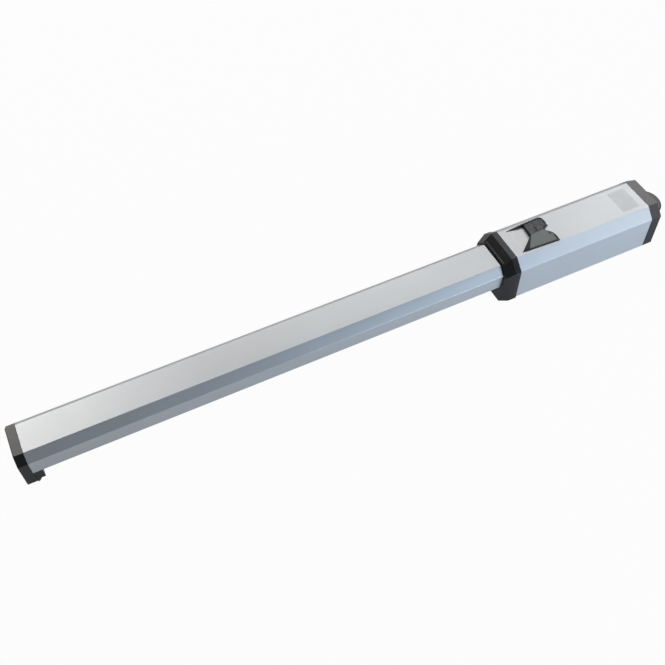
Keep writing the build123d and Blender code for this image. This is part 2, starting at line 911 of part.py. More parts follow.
def coupling_jaws(x0, x1, turn):
    ring = ring_x(coupling_diameter / 2, shaft_radius + 1.5, x0, x1)
    half = coupling_diameter
    keep = box_of(x0 - 1, x1 + 1, -half, half, -3.5, 3.5)
    return Rot(turn, 0, 0) * (ring & keep)


def make_coupling_hubs():
    start = shield_front + 0.5
    first_end = start + hub_thickness
    second_start = first_end + jaw_length + 0.5
    second_end = second_start + hub_thickness
    first = ring_x(coupling_diameter / 2, shaft_radius, start, first_end)
    first += coupling_jaws(first_end, first_end + jaw_length, 0)
    second = ring_x(coupling_diameter / 2, shaft_radius, second_start, second_end)
    second += coupling_jaws(second_start - jaw_length, second_start, 90)
    return group([first, second])


# Cylinder, rod and what slides with it

def make_barrel():
    return ring_x(barrel_radius, barrel_bore / 2, barrel_back, barrel_front)


def make_rod_gland():
    bore = rod_radius + running_clearance
    groove = rod_radius + seal_ring_depth
    seal_start = gland_back + 12
    wiper_start = gland_front - seal_ring_width
    return turned_x(
        (gland_back, bore),
        (seal_start, bore),
        (seal_start, groove),
        (seal_start + seal_ring_width, groove),
        (seal_start + seal_ring_width, bore),
        (wiper_start, bore),
        (wiper_start, groove),
        (gland_front, groove),
        (gland_front, barrel_radius),
        (barrel_front, barrel_radius),
        (barrel_front, barrel_bore / 2),
        (gland_back, barrel_bore / 2),
    )


def make_rod_seal():
    start = gland_back + 12
    outer = rod_radius + seal_ring_depth
    return ring_x(outer, rod_radius + running_clearance, start, start + seal_ring_width)


def make_rod_wiper():
    start = gland_front - seal_ring_width
    bore = rod_radius + running_clearance
    outer = rod_radius + seal_ring_depth
    lip = gland_front + 2
    return turned_x(
        (start, bore),
        (lip, bore),
        (lip, bore + 1),
        (gland_front, outer - 1),
        (gland_front, outer),
        (start, outer),
    )


def guide_section(hold, slide):
    """A saddle between the barrel and the inside of the cover, open below."""
    section = cover_section(-cover_wall - hold)
    section -= Circle(barrel_radius + slide)
    floor = cover_bottom + cover_wall + slide_clearance
    keep = Pos(0, floor + cover_height) * Rectangle(2 * cover_width, 2 * cover_height)
    return section & keep


def make_front_guide():
    section = guide_section(slide_clearance, 0.0)
    return prism_x(section, barrel_front - guide_length, barrel_front)


def make_rear_guide():
    section = guide_section(0.0, slide_clearance)
    return prism_x(section, cover_back + 2, cover_back + 2 + guide_length)


def make_piston_rod():
    thread = rod_thread / 2
    tail = rod_tail / 2
    tail_back = piston_back - piston_nut_length - 2
    return turned_x(
        (tail_back, 0),
        (rod_end, 0),
        (rod_end, thread - 1),
        (rod_end - 1, thread),
        (locknut_back - 4, thread),
        (locknut_back - 4, rod_radius),
        (piston_front, rod_radius),
        (piston_front, tail),
        (tail_back + 1, tail),
        (tail_back, tail - 1),
    )


def make_piston():
    outer = barrel_bore / 2 - running_clearance
    groove = outer - 3.5
    first = piston_back + 3
    second = piston_front - 3 - seal_ring_width
    return turned_x(
        (piston_back, rod_tail / 2),
        (piston_front, rod_tail / 2),
        (piston_front, outer),
        (second + seal_ring_width, outer),
        (second + seal_ring_width, groove),
        (second, groove),
        (second, outer),
        (first + seal_ring_width, outer),
        (first + seal_ring_width, groove),
        (first, groove),
        (first, outer),
        (piston_back, outer),
    )


def make_piston_seals():
    outer = barrel_bore / 2 - running_clearance / 2
    inner = barrel_bore / 2 - running_clearance - 3.5
    first = piston_back + 3
    second = piston_front - 3 - seal_ring_width
    return group(ring_x(outer, inner, x, x + seal_ring_width) for x in (first, second))


def make_piston_nut():
    nut = prism_x(RegularPolygon(11.5, 6), piston_back - piston_nut_length, piston_back)
    return nut - rod_x(rod_tail / 2, piston_back - 20, piston_back + 1)


def make_stop_tube():
    end = gland_back - stroke - running_clearance
    return ring_x(rod_radius + 4, rod_radius, piston_front, end)


def make_head_locknut():
    nut = prism_x(RegularPolygon(locknut_flats / 2, 6, major_radius=False), locknut_back, head_back)
    return nut - rod_x(rod_thread / 2, locknut_back - 1, head_back + 1)


def make_front_head():
    half_y = head_width / 2
    half_z = head_height / 2
    head = box_of(head_back, head_front, -half_y, half_y, -half_z, half_z)
    head = chamfer(head.edges().filter_by(Axis.X), 3.0)
    head -= rod_x(rod_thread / 2, head_back - 1, rod_end)
    head -= rod_z(front_bore / 2, front_pin_x, 0, -half_z - 1, -half_z + front_bore_depth)
    for y in cap_screw_places():
        head -= at_yz(y, 0) * rod_x(tapped(screw_large), head_front - front_screw_grip - 1, head_front + 1)
    return head


def cap_screw_places():
    side = head_width / 2 - 6
    return (side, -side)


def make_ram_cover():
    section = cover_section() - cover_section(-cover_wall)
    mouth = cover_width - 2 * cover_lip
    section -= Pos(0, cover_bottom + cover_wall / 2) * Rectangle(mouth, cover_wall + 0.2)
    return prism_x(section, cover_back, cover_front)


def make_front_cap():
    half = cover_width / 2
    outline = cover_section()
    outline += Pos(0, (cover_bottom + cap_bottom) / 2) * Rectangle(cover_width, cover_bottom - cap_bottom)
    low_corners = outline.vertices().group_by(Axis.Y)[0]
    outline = fillet(low_corners, cap_corner_radius)
    cap = prism_x(outline, cover_front, cap_front)
    cap = fillet(cap.faces().sort_by(Axis.X)[-1].edges(), cap_edge_radius)
    # The spigot plugs the end of the cover, with two posts that meet the head
    plug = cover_section(-cover_wall - seat_clearance)
    cap += prism_x(plug, spigot_back, cover_front)
    pocket = cover_section(-cover_wall - seat_clearance - cap_wall)
    for y in cap_screw_places():
        pocket -= Pos(y, 0) * Circle(screw_large + 2)
    cap -= prism_x(pocket, spigot_back - 1, cap_front - cap_wall - 1)
    # The hook hangs behind the cap below the cover, with a step in its lower edge
    hook_bottom = cover_bottom - hook_drop
    hook = outline_of(
        (spigot_back, cover_bottom - seat_clearance),
        (cover_front, cover_bottom - seat_clearance),
        (cover_front, cap_bottom),
        (cover_front - hook_bevel, cap_bottom),
        (spigot_back + hook_step + 1, hook_bottom - hook_bevel),
        (spigot_back + hook_step, hook_bottom),
        (spigot_back, hook_bottom),
    )
    reach = half - hook_inset
    hook_body = prism_y(hook, -reach, reach)
    hook_body -= box_of(spigot_back + cap_wall, cover_front, cap_wall - reach, reach - cap_wall,
                        cap_bottom - 1, cover_bottom - cap_wall)
    # The head and its bore stay open to the gate pin from below
    cap += hook_body
    for y in cap_screw_places():
        cap -= at_yz(y, 0) * rod_x(drilled(screw_large), spigot_back - 1, cap_front + 1)
        cap -= at_yz(y, 0) * rod_x(screw_large, cap_front - screw_large - 1, cap_front + 1)
    return cap


def make_front_cap_screws():
    seat = cap_front - screw_large - 1
    screw = cap_screw(screw_large, 0, seat - head_front + front_screw_grip)
    return group(Pos(seat, y, 0) * screw for y in cap_screw_places())


def make_flange_screws():
    screw = cap_screw(screw_large, 0, flange_screw_length)
    return group(Pos(flange_front - screw_large, y, z) * screw for y, z in channel_places())


# Release device

def frame_pocket(z0, z1):
    """The inside of the frame, open to the front where the ramp lies."""
    half = release_front_half - frame_rim / 2
    pocket = prism_z(release_outline(frame_rim), z0, z1)
    pocket += box_of(release_front - release_setback, release_front + 2, -half, half, z0, z1)
    # The corner of the straight lobe is tight, so that the side of the lid can swing down into it
    rear = release_rear + frame_rim
    side = frame_rim - release_rear_half
    lean = (release_rear_half - release_front_half) / release_length
    corner = outline_of(
        (rear, side + lean * frame_rim),
        (rear + release_lobe_radius, side + lean * (frame_rim + release_lobe_radius)),
        (rear + release_lobe_radius, side + release_lobe_radius),
        (rear, side + release_lobe_radius),
    )
    tight = corner.vertices().sort_by_distance((rear, side))[0]
    return pocket + prism_z(fillet(tight, pocket_corner_radius), z0, z1)


def notch_box(gap, front, z0, z1):
    """The block of the frame behind the hinge axis, on both sides of the notch."""
    low, high = notch_block
    return box_of(release_rear - 1, front, notch_side + low - gap, notch_side + high + gap, z0, z1)


def make_release_frame():
    block = prism_z(release_outline(), frame_bottom, frame_top)
    side = outline_of(
        (release_rear - 1, frame_bottom - 1),
        (release_rear - 1, frame_top - frame_rear_drop),
        (lid_break_x, frame_top),
        (release_front + 1, housing_top),
        (release_front + 1, frame_bottom - 1),
    )
    half = release_rear_half
    ends = outline_of(
        (-half, frame_bottom - 1),
        (-half, frame_top),
        (notch_side, frame_top),
        (half, housing_top + frame_near_rise),
        (half, frame_bottom - 1),
    )
    frame = block & prism_y(side, -half, half)
    frame &= prism_x(ends, release_rear - 1, release_front + 1)
    frame -= frame_pocket(pocket_floor, frame_top + 1)
    # Round the notch the rim is a block level with the housing, clear of the lid when it swings up
    block_front = lid_axis_x + lid_axis_drop - seat_clearance
    frame += notch_box(0, block_front, frame_bottom, housing_top) & block
    frame -= notch_box(notch_depth / 2, release_rear + 2 * notch_depth, housing_top, frame_top + 1)
    # Holes in the floor for the stem and the two adjusting screws
    stem_hole = stem_diameter / 2 + stem_hole_clearance
    frame -= rod_z(stem_hole, stem_x, stem_y, frame_bottom - 1, pocket_floor + 1)
    for x in bypass_x:
        hole = bypass_diameter / 2 + stem_hole_clearance
        frame -= rod_z(hole, x, bypass_y, frame_bottom - 1, pocket_floor + 1)
    # The catch for the latch, on the straight side wall
    wall = -release_rear_half + frame_rim
    catch_low = lid_axis_z - latch_arm_drop + latch_arm_thickness + catch_gap
    half = catch_length / 2
    catch_top = catch_low + catch_thickness
    frame += box_of(latch_x - half, latch_x + half, wall - 1, wall + catch_reach, catch_low, catch_top)
    for hole in hinge_pins(lid_pin_diameter / 2):
        frame -= hole
    return frame


def hinge_pins(radius):
    """One pin for each lobe, from the side wall to the rim of the notch."""
    pins = []
    outer = release_rear_half - frame_rim / 2
    inner = frame_rim
    for y0, y1 in ((-outer, notch_side - inner), (notch_side + 2 * inner, outer)):
        pin = Pos(lid_axis_x, (y0 + y1) / 2, lid_axis_z) * Rot(90, 0, 0) * Cylinder(radius, y1 - y0)
        pins.append(pin)
    return pins


def make_lid_pins():
    return group(hinge_pins(lid_pin_diameter / 2))


def make_release_ramp():
    low = housing_top - ramp_depth
    side = outline_of(
        (lid_far_x - ramp_step, pocket_floor),
        (lid_far_x - ramp_step, low),
        (lid_far_x, low),
        (release_front + 1, housing_top),
        (release_front + 1, pocket_floor),
    )
    ramp = frame_pocket(pocket_floor, housing_top) & prism_y(side, -release_rear_half, release_rear_half)
    ramp &= prism_z(release_outline(), pocket_floor - 1, housing_top + 1)
    ramp -= prism_z(lid_front_line(ramp_under_lid), pocket_floor - 1, housing_top + 1)
    # Under the lid the ramp stays below its lower edge
    return ramp - prism_z(lid_front_line(-ramp_gap), lid_low - ramp_gap, housing_top + 1)


def make_release_lid():
    lid = lid_envelope()
    lid -= lid_envelope(lid_wall)
    # Two knuckles on the pin, one in each lobe
    radius = knuckle_diameter / 2
    for y in (knuckle_place, -knuckle_place):
        y0 = y - knuckle_width / 2
        y1 = y + knuckle_width / 2
        knuckle = Pos(lid_axis_x, y, lid_axis_z) * Rot(90, 0, 0) * Cylinder(radius, knuckle_width)
        web_top = lid_top - lid_ridge - seat_wall
        web = box_of(lid_axis_x - radius, lid_axis_x + radius, y0, y1, lid_axis_z, web_top)
        lid += knuckle + web
    # Beside the notch the lid starts in front of its axis, so that it can stand up
    lid -= notch_box(lid_swing_gap, lid_axis_x + lid_axis_drop + lid_gap, 0, lid_top + 1)
    for hole in hinge_pins(lid_pin_diameter / 2 + running_clearance):
        lid -= hole
    lid -= rod_z(latch_diameter / 2 + running_clearance, latch_x, latch_y, 0, lid_top + 1)
    lid += latch_boss()
    return lid


def latch_boss():
    top = lid_top - seat_wall
    boss = rod_z(latch_diameter / 2 + latch_wall, latch_x, latch_y, lid_low + ramp_gap, top)
    return boss - rod_z(latch_diameter / 2 + running_clearance, latch_x, latch_y, 0, top + 1)


def make_lid_latch():
    low = lid_axis_z - latch_wall
    top = lid_top - latch_recess
    latch = rod_z(latch_diameter / 2, latch_x, latch_y, low, top)
    slot_width_x, slot_length_y, slot_cut = latch_slot
    slot = Pos(latch_x, latch_y) * Rectangle(slot_width_x, slot_length_y)
    latch -= prism_z(slot, top - slot_cut, top + 1)
    arm_low = lid_axis_z - latch_arm_drop
    latch += rod_z(latch_arm_width / 2, latch_x, latch_y, arm_low, low)
    arm = Pos(latch_x + latch_arm / 2, latch_y) * SlotOverall(latch_arm + latch_arm_width, latch_arm_width)
    return latch + prism_z(arm, arm_low, arm_low + latch_arm_thickness)


def make_release_stem():
    top = block_height / 2
    shoulder = pocket_floor + stem_shoulder
    stem = rod_z(stem_diameter / 2, stem_x, stem_y, top - stem_depth + 1, shoulder)
    triangle = Pos(stem_x, stem_y) * RegularPolygon(key_flats / 2, 3, major_radius=False)
    key = prism_z(fillet(triangle.vertices(), key_corner), shoulder, shoulder + key_height)
    return stem + (key & rod_z(stem_diameter / 2, stem_x, stem_y, shoulder, shoulder + key_height))


def make_bypass_screw(x):
    top = block_height / 2
    low = top - bypass_depth + 1
    head = pocket_floor + bypass_head
    screw = rod_z(bypass_diameter / 2, x, bypass_y, low + bypass_tip, head)
    screw += Pos(x, bypass_y, low + bypass_tip / 2) * Cone(bypass_tip / 3, bypass_diameter / 2, bypass_tip)
    slot_length_x, slot_width_y, slot_cut = bypass_slot
    slot = Pos(x, bypass_y) * Rectangle(slot_length_x, slot_width_y)
    return screw - prism_z(slot, head - slot_cut, head + 1)


# Valves, plugs, cable entry and terminals

def hex_plug(radius, flats, depth, head):
    """A screw plug with a hexagon head, pointing up from z = 0."""
    plug = Pos(0, 0, depth / 2) * Cylinder(radius, depth)
    hexagon = extrude(RegularPolygon(flats / 2, 6, major_radius=False), -head)
    return plug + hexagon


def make_check_valves():
    x = block_back + cartridge_place
    valve = hex_plug(cartridge_diameter / 2, cartridge_diameter + 3, cartridge_depth - 2, 4)
    return group(Pos(x, sy * cartridge_spread / 2, -block_height / 2) * valve for sy in (1, -1))


def make_oil_plug():
    x = block_back + plug_place
    plug = hex_plug(plug_diameter / 2, plug_diameter + 2, plug_depth - 2, 4)
    return Pos(x, 0, -block_height / 2) * plug


def make_cable_gland():
    body = turned_x((plate_back - 3, cable_bore / 2), (pin_to_housing + 4, cable_bore / 2),
                    (pin_to_housing + 4, cable_thread / 2), (plate_back, cable_thread / 2),
                    (plate_back - 3, cable_thread / 2))
    collar = prism_x(RegularPolygon(cable_nut_flats / 2, 6, major_radius=False), plate_back - 3, plate_back)
    body += collar - rod_x(cable_bore / 2, plate_back - 4, plate_back + 1)
    nut_back = plate_back - 13
    nut = prism_x(RegularPolygon(cable_nut_flats / 2, 6, major_radius=False), nut_back, plate_back - 3)
    dome = turned_x((nut_back, 0), (nut_back, cable_bore / 2 + 1), (nut_back + 4, cable_nut_flats / 2 + 1.5),
                    (plate_back - 3, cable_nut_flats / 2 + 1.5), (plate_back - 3, 0))
    nut = (nut & dome) - rod_x(cable_bore / 2, nut_back - 1, plate_back)
    place = at_yz(cable_entry_y, cable_entry_z)
    return group([place * body, place * nut])


def make_terminal_block():
    x0 = pin_to_housing + 1.5
    channel_edge = channel_places()[0][0] - screw_channel_radius
    y0 = channel_edge - terminal_gap - terminal_width
    z0 = housing_bottom + housing_wall
    block = box_of(x0, x0 + terminal_depth, y0, y0 + terminal_width, z0, z0 + terminal_height)
    pitch = terminal_width / terminal_poles
    for k in range(terminal_poles):
        y = y0 + (k + 0.5) * pitch
        block -= rod_z(2.2, x0 + terminal_depth / 2, y, z0 + terminal_height - 5, z0 + terminal_height + 1)
        block -= box_of(x0 - 1, x0 + 3, y - 2, y + 2, z0 + 3, z0 + 7)
    return block


pieces = {
    "motor_housing": make_motor_housing(),
    "rear_mount": make_rear_mount(),
    "rear_screws": make_rear_screws(),
    "rear_cap": make_rear_cap(),
    "rear_cap_screws": make_rear_cap_screws(),
    "front_collar": make_front_collar(),
    "valve_block": make_valve_block(),
    "flange_screws": make_flange_screws(),
    "oil_tank": make_oil_tank(),
    "tank_screws": make_tank_screws(),
    "shaft_seal": make_shaft_seal(),
    "pump_body": make_pump_body(),
    "pump_end_plate": make_pump_end_plate(),
    "pump_screws": make_pump_screws(),
    "drive_gear": make_drive_gear(),
    "driven_gear": make_driven_gear(),
    "motor_lantern": make_motor_lantern(),
    "motor_front_shield": make_front_shield(),
    "motor_rear_bell": make_rear_bell(),
    "motor_bearings": make_motor_bearings(),
    "motor_can": make_motor_can(),
    "motor_magnets": make_motor_magnets(),
    "motor_bolts": make_motor_bolts(),
    "motor_shaft": make_motor_shaft(),
    "armature_core": make_armature_core(),
    "armature_windings": make_armature_windings(),
    "commutator": make_commutator(),
    "brush_plate": make_brush_plate(),
    "carbon_brushes": make_carbon_brushes(),
    "coupling_hubs": make_coupling_hubs(),
    "barrel": make_barrel(),
    "rod_gland": make_rod_gland(),
    "rod_seal": make_rod_seal(),
    "rod_wiper": make_rod_wiper(),
    "front_guide": make_front_guide(),
    "rear_guide": make_rear_guide(),
    "piston_rod": make_piston_rod(),
    "piston": make_piston(),
    "piston_seals": make_piston_seals(),
    "piston_nut": make_piston_nut(),
    "stop_tube": make_stop_tube(),
    "head_locknut": make_head_locknut(),
    "front_head": make_front_head(),
    "ram_cover": make_ram_cover(),
    "front_cap": make_front_cap(),
    "front_cap_screws": make_front_cap_screws(),
    "release_frame": make_release_frame(),
    "release_ramp": make_release_ramp(),
    "release_lid": make_release_lid(),
    "lid_pins": make_lid_pins(),
    "lid_latch": make_lid_latch(),
    "release_stem": make_release_stem(),
    "opening_bypass_screw": make_bypass_screw(bypass_x[0]),
    "closing_bypass_screw": make_bypass_screw(bypass_x[1]),
    "check_valves": make_check_valves(),
    "oil_plug": make_oil_plug(),
    "cable_gland": make_cable_gland(),
    "terminal_block": make_terminal_block(),
}

os.makedirs("parts", exist_ok=True)
for name, shape in pieces.items():
    write(name, shape)
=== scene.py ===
# %% [markdown]
# # A hydraulic swing gate opener
# The opener is a slim ram in an aluminium cover, pushed out of a motor housing by oil.
# Its solids come ready made, at their real size, and stay where they are.
# This notebook gives them their finishes, rounds the edges that catch the light, models
# the collar's mouth afresh, adds a blank label film, and sets up the camera and the light.

# %% Load the fixed frame
import math
import json

import bpy
from mathutils import Matrix, Vector


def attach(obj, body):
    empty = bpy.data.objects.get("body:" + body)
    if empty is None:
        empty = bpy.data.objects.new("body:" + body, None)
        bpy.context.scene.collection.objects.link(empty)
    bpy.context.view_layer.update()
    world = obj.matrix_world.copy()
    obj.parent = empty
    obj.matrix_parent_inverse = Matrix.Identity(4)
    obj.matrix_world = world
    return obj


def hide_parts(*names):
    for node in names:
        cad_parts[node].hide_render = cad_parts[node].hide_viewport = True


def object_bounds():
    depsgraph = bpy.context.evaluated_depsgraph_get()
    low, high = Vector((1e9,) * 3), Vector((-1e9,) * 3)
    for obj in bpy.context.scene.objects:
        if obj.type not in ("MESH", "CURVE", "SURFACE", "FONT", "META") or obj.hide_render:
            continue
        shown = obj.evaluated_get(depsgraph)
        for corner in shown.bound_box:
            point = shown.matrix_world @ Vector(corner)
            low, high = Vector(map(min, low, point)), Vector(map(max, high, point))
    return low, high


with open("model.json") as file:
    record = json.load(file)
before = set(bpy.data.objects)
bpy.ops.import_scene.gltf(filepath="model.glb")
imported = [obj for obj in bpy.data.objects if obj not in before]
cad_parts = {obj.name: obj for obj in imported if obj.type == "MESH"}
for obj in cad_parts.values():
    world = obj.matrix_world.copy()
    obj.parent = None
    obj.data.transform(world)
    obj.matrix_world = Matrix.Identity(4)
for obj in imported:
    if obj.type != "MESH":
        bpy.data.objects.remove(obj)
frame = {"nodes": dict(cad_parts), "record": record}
cad_low, cad_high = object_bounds()
MM = 0.001
print("solid model from", cad_low, "to", cad_high)

# %% [markdown]
# ## The camera
# The camera stands where the photograph was taken from: beside the opener, nearer to its front
# end and well above it, looking down and a little towards its rear. A turn about the viewing
# axis tilts the picture by a degree and a half. Three angles could be typed in, but building
# the matrix from three directions is surer, because each of them can be checked by itself.

# %% The camera
AZIMUTH = math.radians(155.760)
ELEVATION = math.radians(53.412)
ROLL = math.radians(-1.5587)
EYE = Vector((904.12, 726.54, 1063.54)) * MM
LENS = 48.05
SENSOR_WIDTH = 36.0
NEAREST_SEEN = 0.01

backward = Vector(
    (
        math.sin(AZIMUTH) * math.cos(ELEVATION),
        -math.cos(AZIMUTH) * math.cos(ELEVATION),
        math.sin(ELEVATION),
    )
)
level_right = Vector((0, 0, 1)).cross(backward).normalized()
level_up = backward.cross(level_right)
right = math.cos(ROLL) * level_right + math.sin(ROLL) * level_up
up = math.cos(ROLL) * level_up - math.sin(ROLL) * level_right

bpy.ops.object.camera_add(location=EYE)
camera = bpy.context.object
camera.data.lens = LENS
camera.data.sensor_width = SENSOR_WIDTH
camera.data.clip_start = NEAREST_SEEN
turn = Matrix((right, up, backward)).transposed().to_4x4()
camera.matrix_world = Matrix.Translation(EYE) @ turn
bpy.context.scene.camera = camera
print("camera at", EYE, "looking along", -backward)

# %% [markdown]
# ## Shader sums in plain Python
# A node tree is easier to read as a sum than as a web of boxes. One small class wraps a
# socket, so that `0.3 + 0.1 * grain` adds the two Math nodes that it needs. A second class
# adds every other node through a single method, and knows the few patterns used here.


# %% A socket that takes part in sums
class Wire:
    """An output socket, with the sums that the finishes use."""

    def __init__(self, tree, socket):
        self.tree = tree
        self.socket = socket

    def sum_with(self, operation, first, second):
        node = self.tree.nodes.new("ShaderNodeMath")
        node.operation = operation
        for place, value in zip(node.inputs, (first, second)):
            if isinstance(value, Wire):
                self.tree.links.new(value.socket, place)
            else:
                place.default_value = value
        return Wire(self.tree, node.outputs[0])

    def __add__(self, other):
        return self.sum_with("ADD", self, other)

    def __radd__(self, other):
        return self.sum_with("ADD", other, self)

    def __sub__(self, other):
        return self.sum_with("SUBTRACT", self, other)

    def __rsub__(self, other):
        return self.sum_with("SUBTRACT", other, self)

    def __mul__(self, other):
        return self.sum_with("MULTIPLY", self, other)

    def __rmul__(self, other):
        return self.sum_with("MULTIPLY", other, self)


# %% A tree that any node is added to
class Nodes:
    """A node tree, with a single method that adds any node to it."""

    def __init__(self, tree):
        self.tree = tree

    def plug(self, place, value):
        if isinstance(value, Wire):
            self.tree.links.new(value.socket, place)
        else:
            place.default_value = value

    def node(self, kind, settings, inputs, output=0):
        made = self.tree.nodes.new(kind)
        for name, value in settings.items():
            if name == "stops":
                self.set_stops(made.color_ramp, value)
            else:
                setattr(made, name, value)
        for place, value in inputs.items():
            self.plug(made.inputs[place], value)
        return Wire(self.tree, made.outputs[output])

    def set_stops(self, ramp, stops):
        while len(ramp.elements) < len(stops):
            ramp.elements.new(0.5)
        for element, (position, colour) in zip(ramp.elements, stops):
            element.position = position
            element.color = (*colour, 1.0)

    def ray(self, question):
        """1 for the rays that the question is true of, 0 for all others."""
        return self.node("ShaderNodeLightPath", {}, {}, question)


# %% A maker of finishes
EVEN = (1.0, 1.0, 1.0)


class Finish(Nodes):
    """One material, with the patterns that the finishes are made of."""

    def __init__(self, name):
        self.name = name
        self.material = bpy.data.materials.new(name)
        self.material.use_nodes = True
        super().__init__(self.material.node_tree)
        self.shader = self.tree.nodes["Principled BSDF"]

    def point(self, stretch=EVEN):
        place = self.node("ShaderNodeTexCoord", {}, {}, "Object")
        return self.node("ShaderNodeMapping", {}, {"Vector": place, "Scale": stretch})

    def coordinate(self, axis):
        return self.node("ShaderNodeSeparateXYZ", {}, {"Vector": self.point()}, axis)

    def noise(self, scale, detail=2.0, stretch=EVEN):
        inputs = {"Vector": self.point(stretch), "Scale": scale, "Detail": detail}
        return self.node("ShaderNodeTexNoise", {}, inputs)

    def colours(self, factor, *stops):
        """A ramp through stops, each of them a position and a colour."""
        return self.node("ShaderNodeValToRGB", {"stops": stops}, {"Fac": factor})

    def blend(self, factor, first, second):
        """Two colours mixed. Sockets 6 and 7 and output 2 are the node's colour ones."""
        inputs = {0: factor, 6: first, 7: second}
        return self.node("ShaderNodeMix", {"data_type": "RGBA"}, inputs, 2)

    def mask(self, distance, sharpness):
        """0 on one side of a border and 1 on the other."""
        return self.node("ShaderNodeClamp", {}, {"Value": sharpness * distance + 0.5})

    def set(self, **values):
        for name, value in values.items():
            self.plug(self.shader.inputs[name.replace("_", " ")], value)

    def bump(self, height, depth, strength):
        """Raise the surface by height, with the depth in millimetres."""
        inputs = {"Height": height, "Distance": depth * MM, "Strength": strength}
        self.set(Normal=self.node("ShaderNodeBump", {}, inputs))


finishes = {}


def keep(finish):
    """File a finish under its name."""
    finishes[finish.name] = finish.material
    print("made", finish.name, "from", len(finish.tree.nodes), "shader nodes")


# %% [markdown]
# ## The aluminium profiles
# Both profiles are extruded and then anodised. The die leaves faint lines that run the whole
# length, and the acid bath turns the metal silky. A picture of brushed metal could be wrapped
# round them, but noise stretched along X gives such lines without a picture or a seam. A wide
# cloud keeps the sheen from looking like one flat colour.

# %% Anodised aluminium
DIE_LINES = (3.0, 1400.0, 1400.0)
COOL = (0.965, 0.985, 1.0)


def shade(value, tint):
    return tuple(value * part for part in tint)


def anodised_aluminium():
    finish = Finish("anodised_aluminium")
    die_lines = finish.noise(1.0, detail=4.0, stretch=DIE_LINES)
    cloud = finish.noise(14.0, detail=3.0)
    both = die_lines * 0.5 + cloud * 0.5
    tone = finish.colours(both, (0.3, shade(0.66, COOL)), (0.7, shade(0.72, COOL)))
    finish.set(Base_Color=tone, Metallic=0.55, Roughness=0.34 + 0.12 * die_lines)
    finish.bump(die_lines, depth=0.02, strength=0.5)
    return finish


keep(anodised_aluminium())

# %% [markdown]
# ## The plastics
# The caps, the collar and the frame are moulded in a black plastic with a fine spark-eroded
# grain. It is smooth enough to show the lamps, so flat tops look grey and sides nearly black.
# The guides, brushes and seals inside differ from it only in tone and grain, so one function
# and a table make them all. The finger ramp is lacquered silver.

# %% Moulded plastics
SPARK_GRAIN = 2600.0
# Each plastic: its dark and its light tone, its roughness, the depth of its grain in mm
PLASTICS = {
    "black_plastic": ((0.011, 0.011, 0.012), (0.017, 0.017, 0.019), 0.20, 0.01),
    "guide_plastic": ((0.70, 0.69, 0.64), (0.78, 0.77, 0.72), 0.36, 0.04),
    "carbon": ((0.02, 0.02, 0.02), (0.05, 0.05, 0.05), 0.60, 0.04),
    "seal_rubber": ((0.012, 0.012, 0.012), (0.022, 0.022, 0.022), 0.55, 0.04),
}


def moulded_plastic(name, dark, light, rough, depth):
    finish = Finish(name)
    spark = finish.noise(SPARK_GRAIN)
    cloud = finish.noise(30.0, detail=3.0)
    tone = finish.colours(cloud, (0.35, dark), (0.65, light))
    finish.set(Base_Color=tone, Roughness=rough + 0.1 * spark)
    finish.bump(spark, depth, strength=0.6)
    return finish


for name, look in PLASTICS.items():
    keep(moulded_plastic(name, *look))


# %% Silver lacquer
def silver_plastic():
    finish = Finish("silver_plastic")
    flake = finish.noise(5200.0, detail=1.0)
    tone = finish.colours(flake, (0.35, (0.84, 0.845, 0.85)), (0.65, (0.92, 0.925, 0.93)))
    finish.set(Base_Color=tone, Metallic=0.15, Roughness=0.34 + 0.06 * flake)
    finish.bump(flake, depth=0.02, strength=0.3)
    return finish


keep(silver_plastic())

# %% [markdown]
# ## The lid's grey plastic
# Its near facet is smoother and given a lighter grey, as painted light, and its far facet is
# coarsely grained for the fingers and given a darker grey, as painted shade, since the two
# facets lean towards and away from the lamps. A black band along its front, which widens to a
# beak at the near tip, is a painted shadow where the lid's front wall lies in shade. The
# borders could be cut into the mesh, but they are straight lines in plan, so sums of the X and
# Y coordinates place them, and carry on across the latch.

# %% Grey plastic with painted light, painted shade and a painted shadow
RIDGE_START = Vector((198.5, -1.5)) * MM
RIDGE_SLOPE = 0.0667
RIDGE_SHARPNESS = 1500.0
# A painted shadow of the lid's front wall in shade: a black band from the front edge's break,
# widening to a beak at the near tip
LID_BREAK = Vector((236.0, 1.0)) * MM
PAINTED_SHADOW_WIDTH = 1.6 * MM
BEAK_SLOPE = 0.74
FAR_SLOPE = 0.0877
SHADOW_SHARPNESS = 3000.0


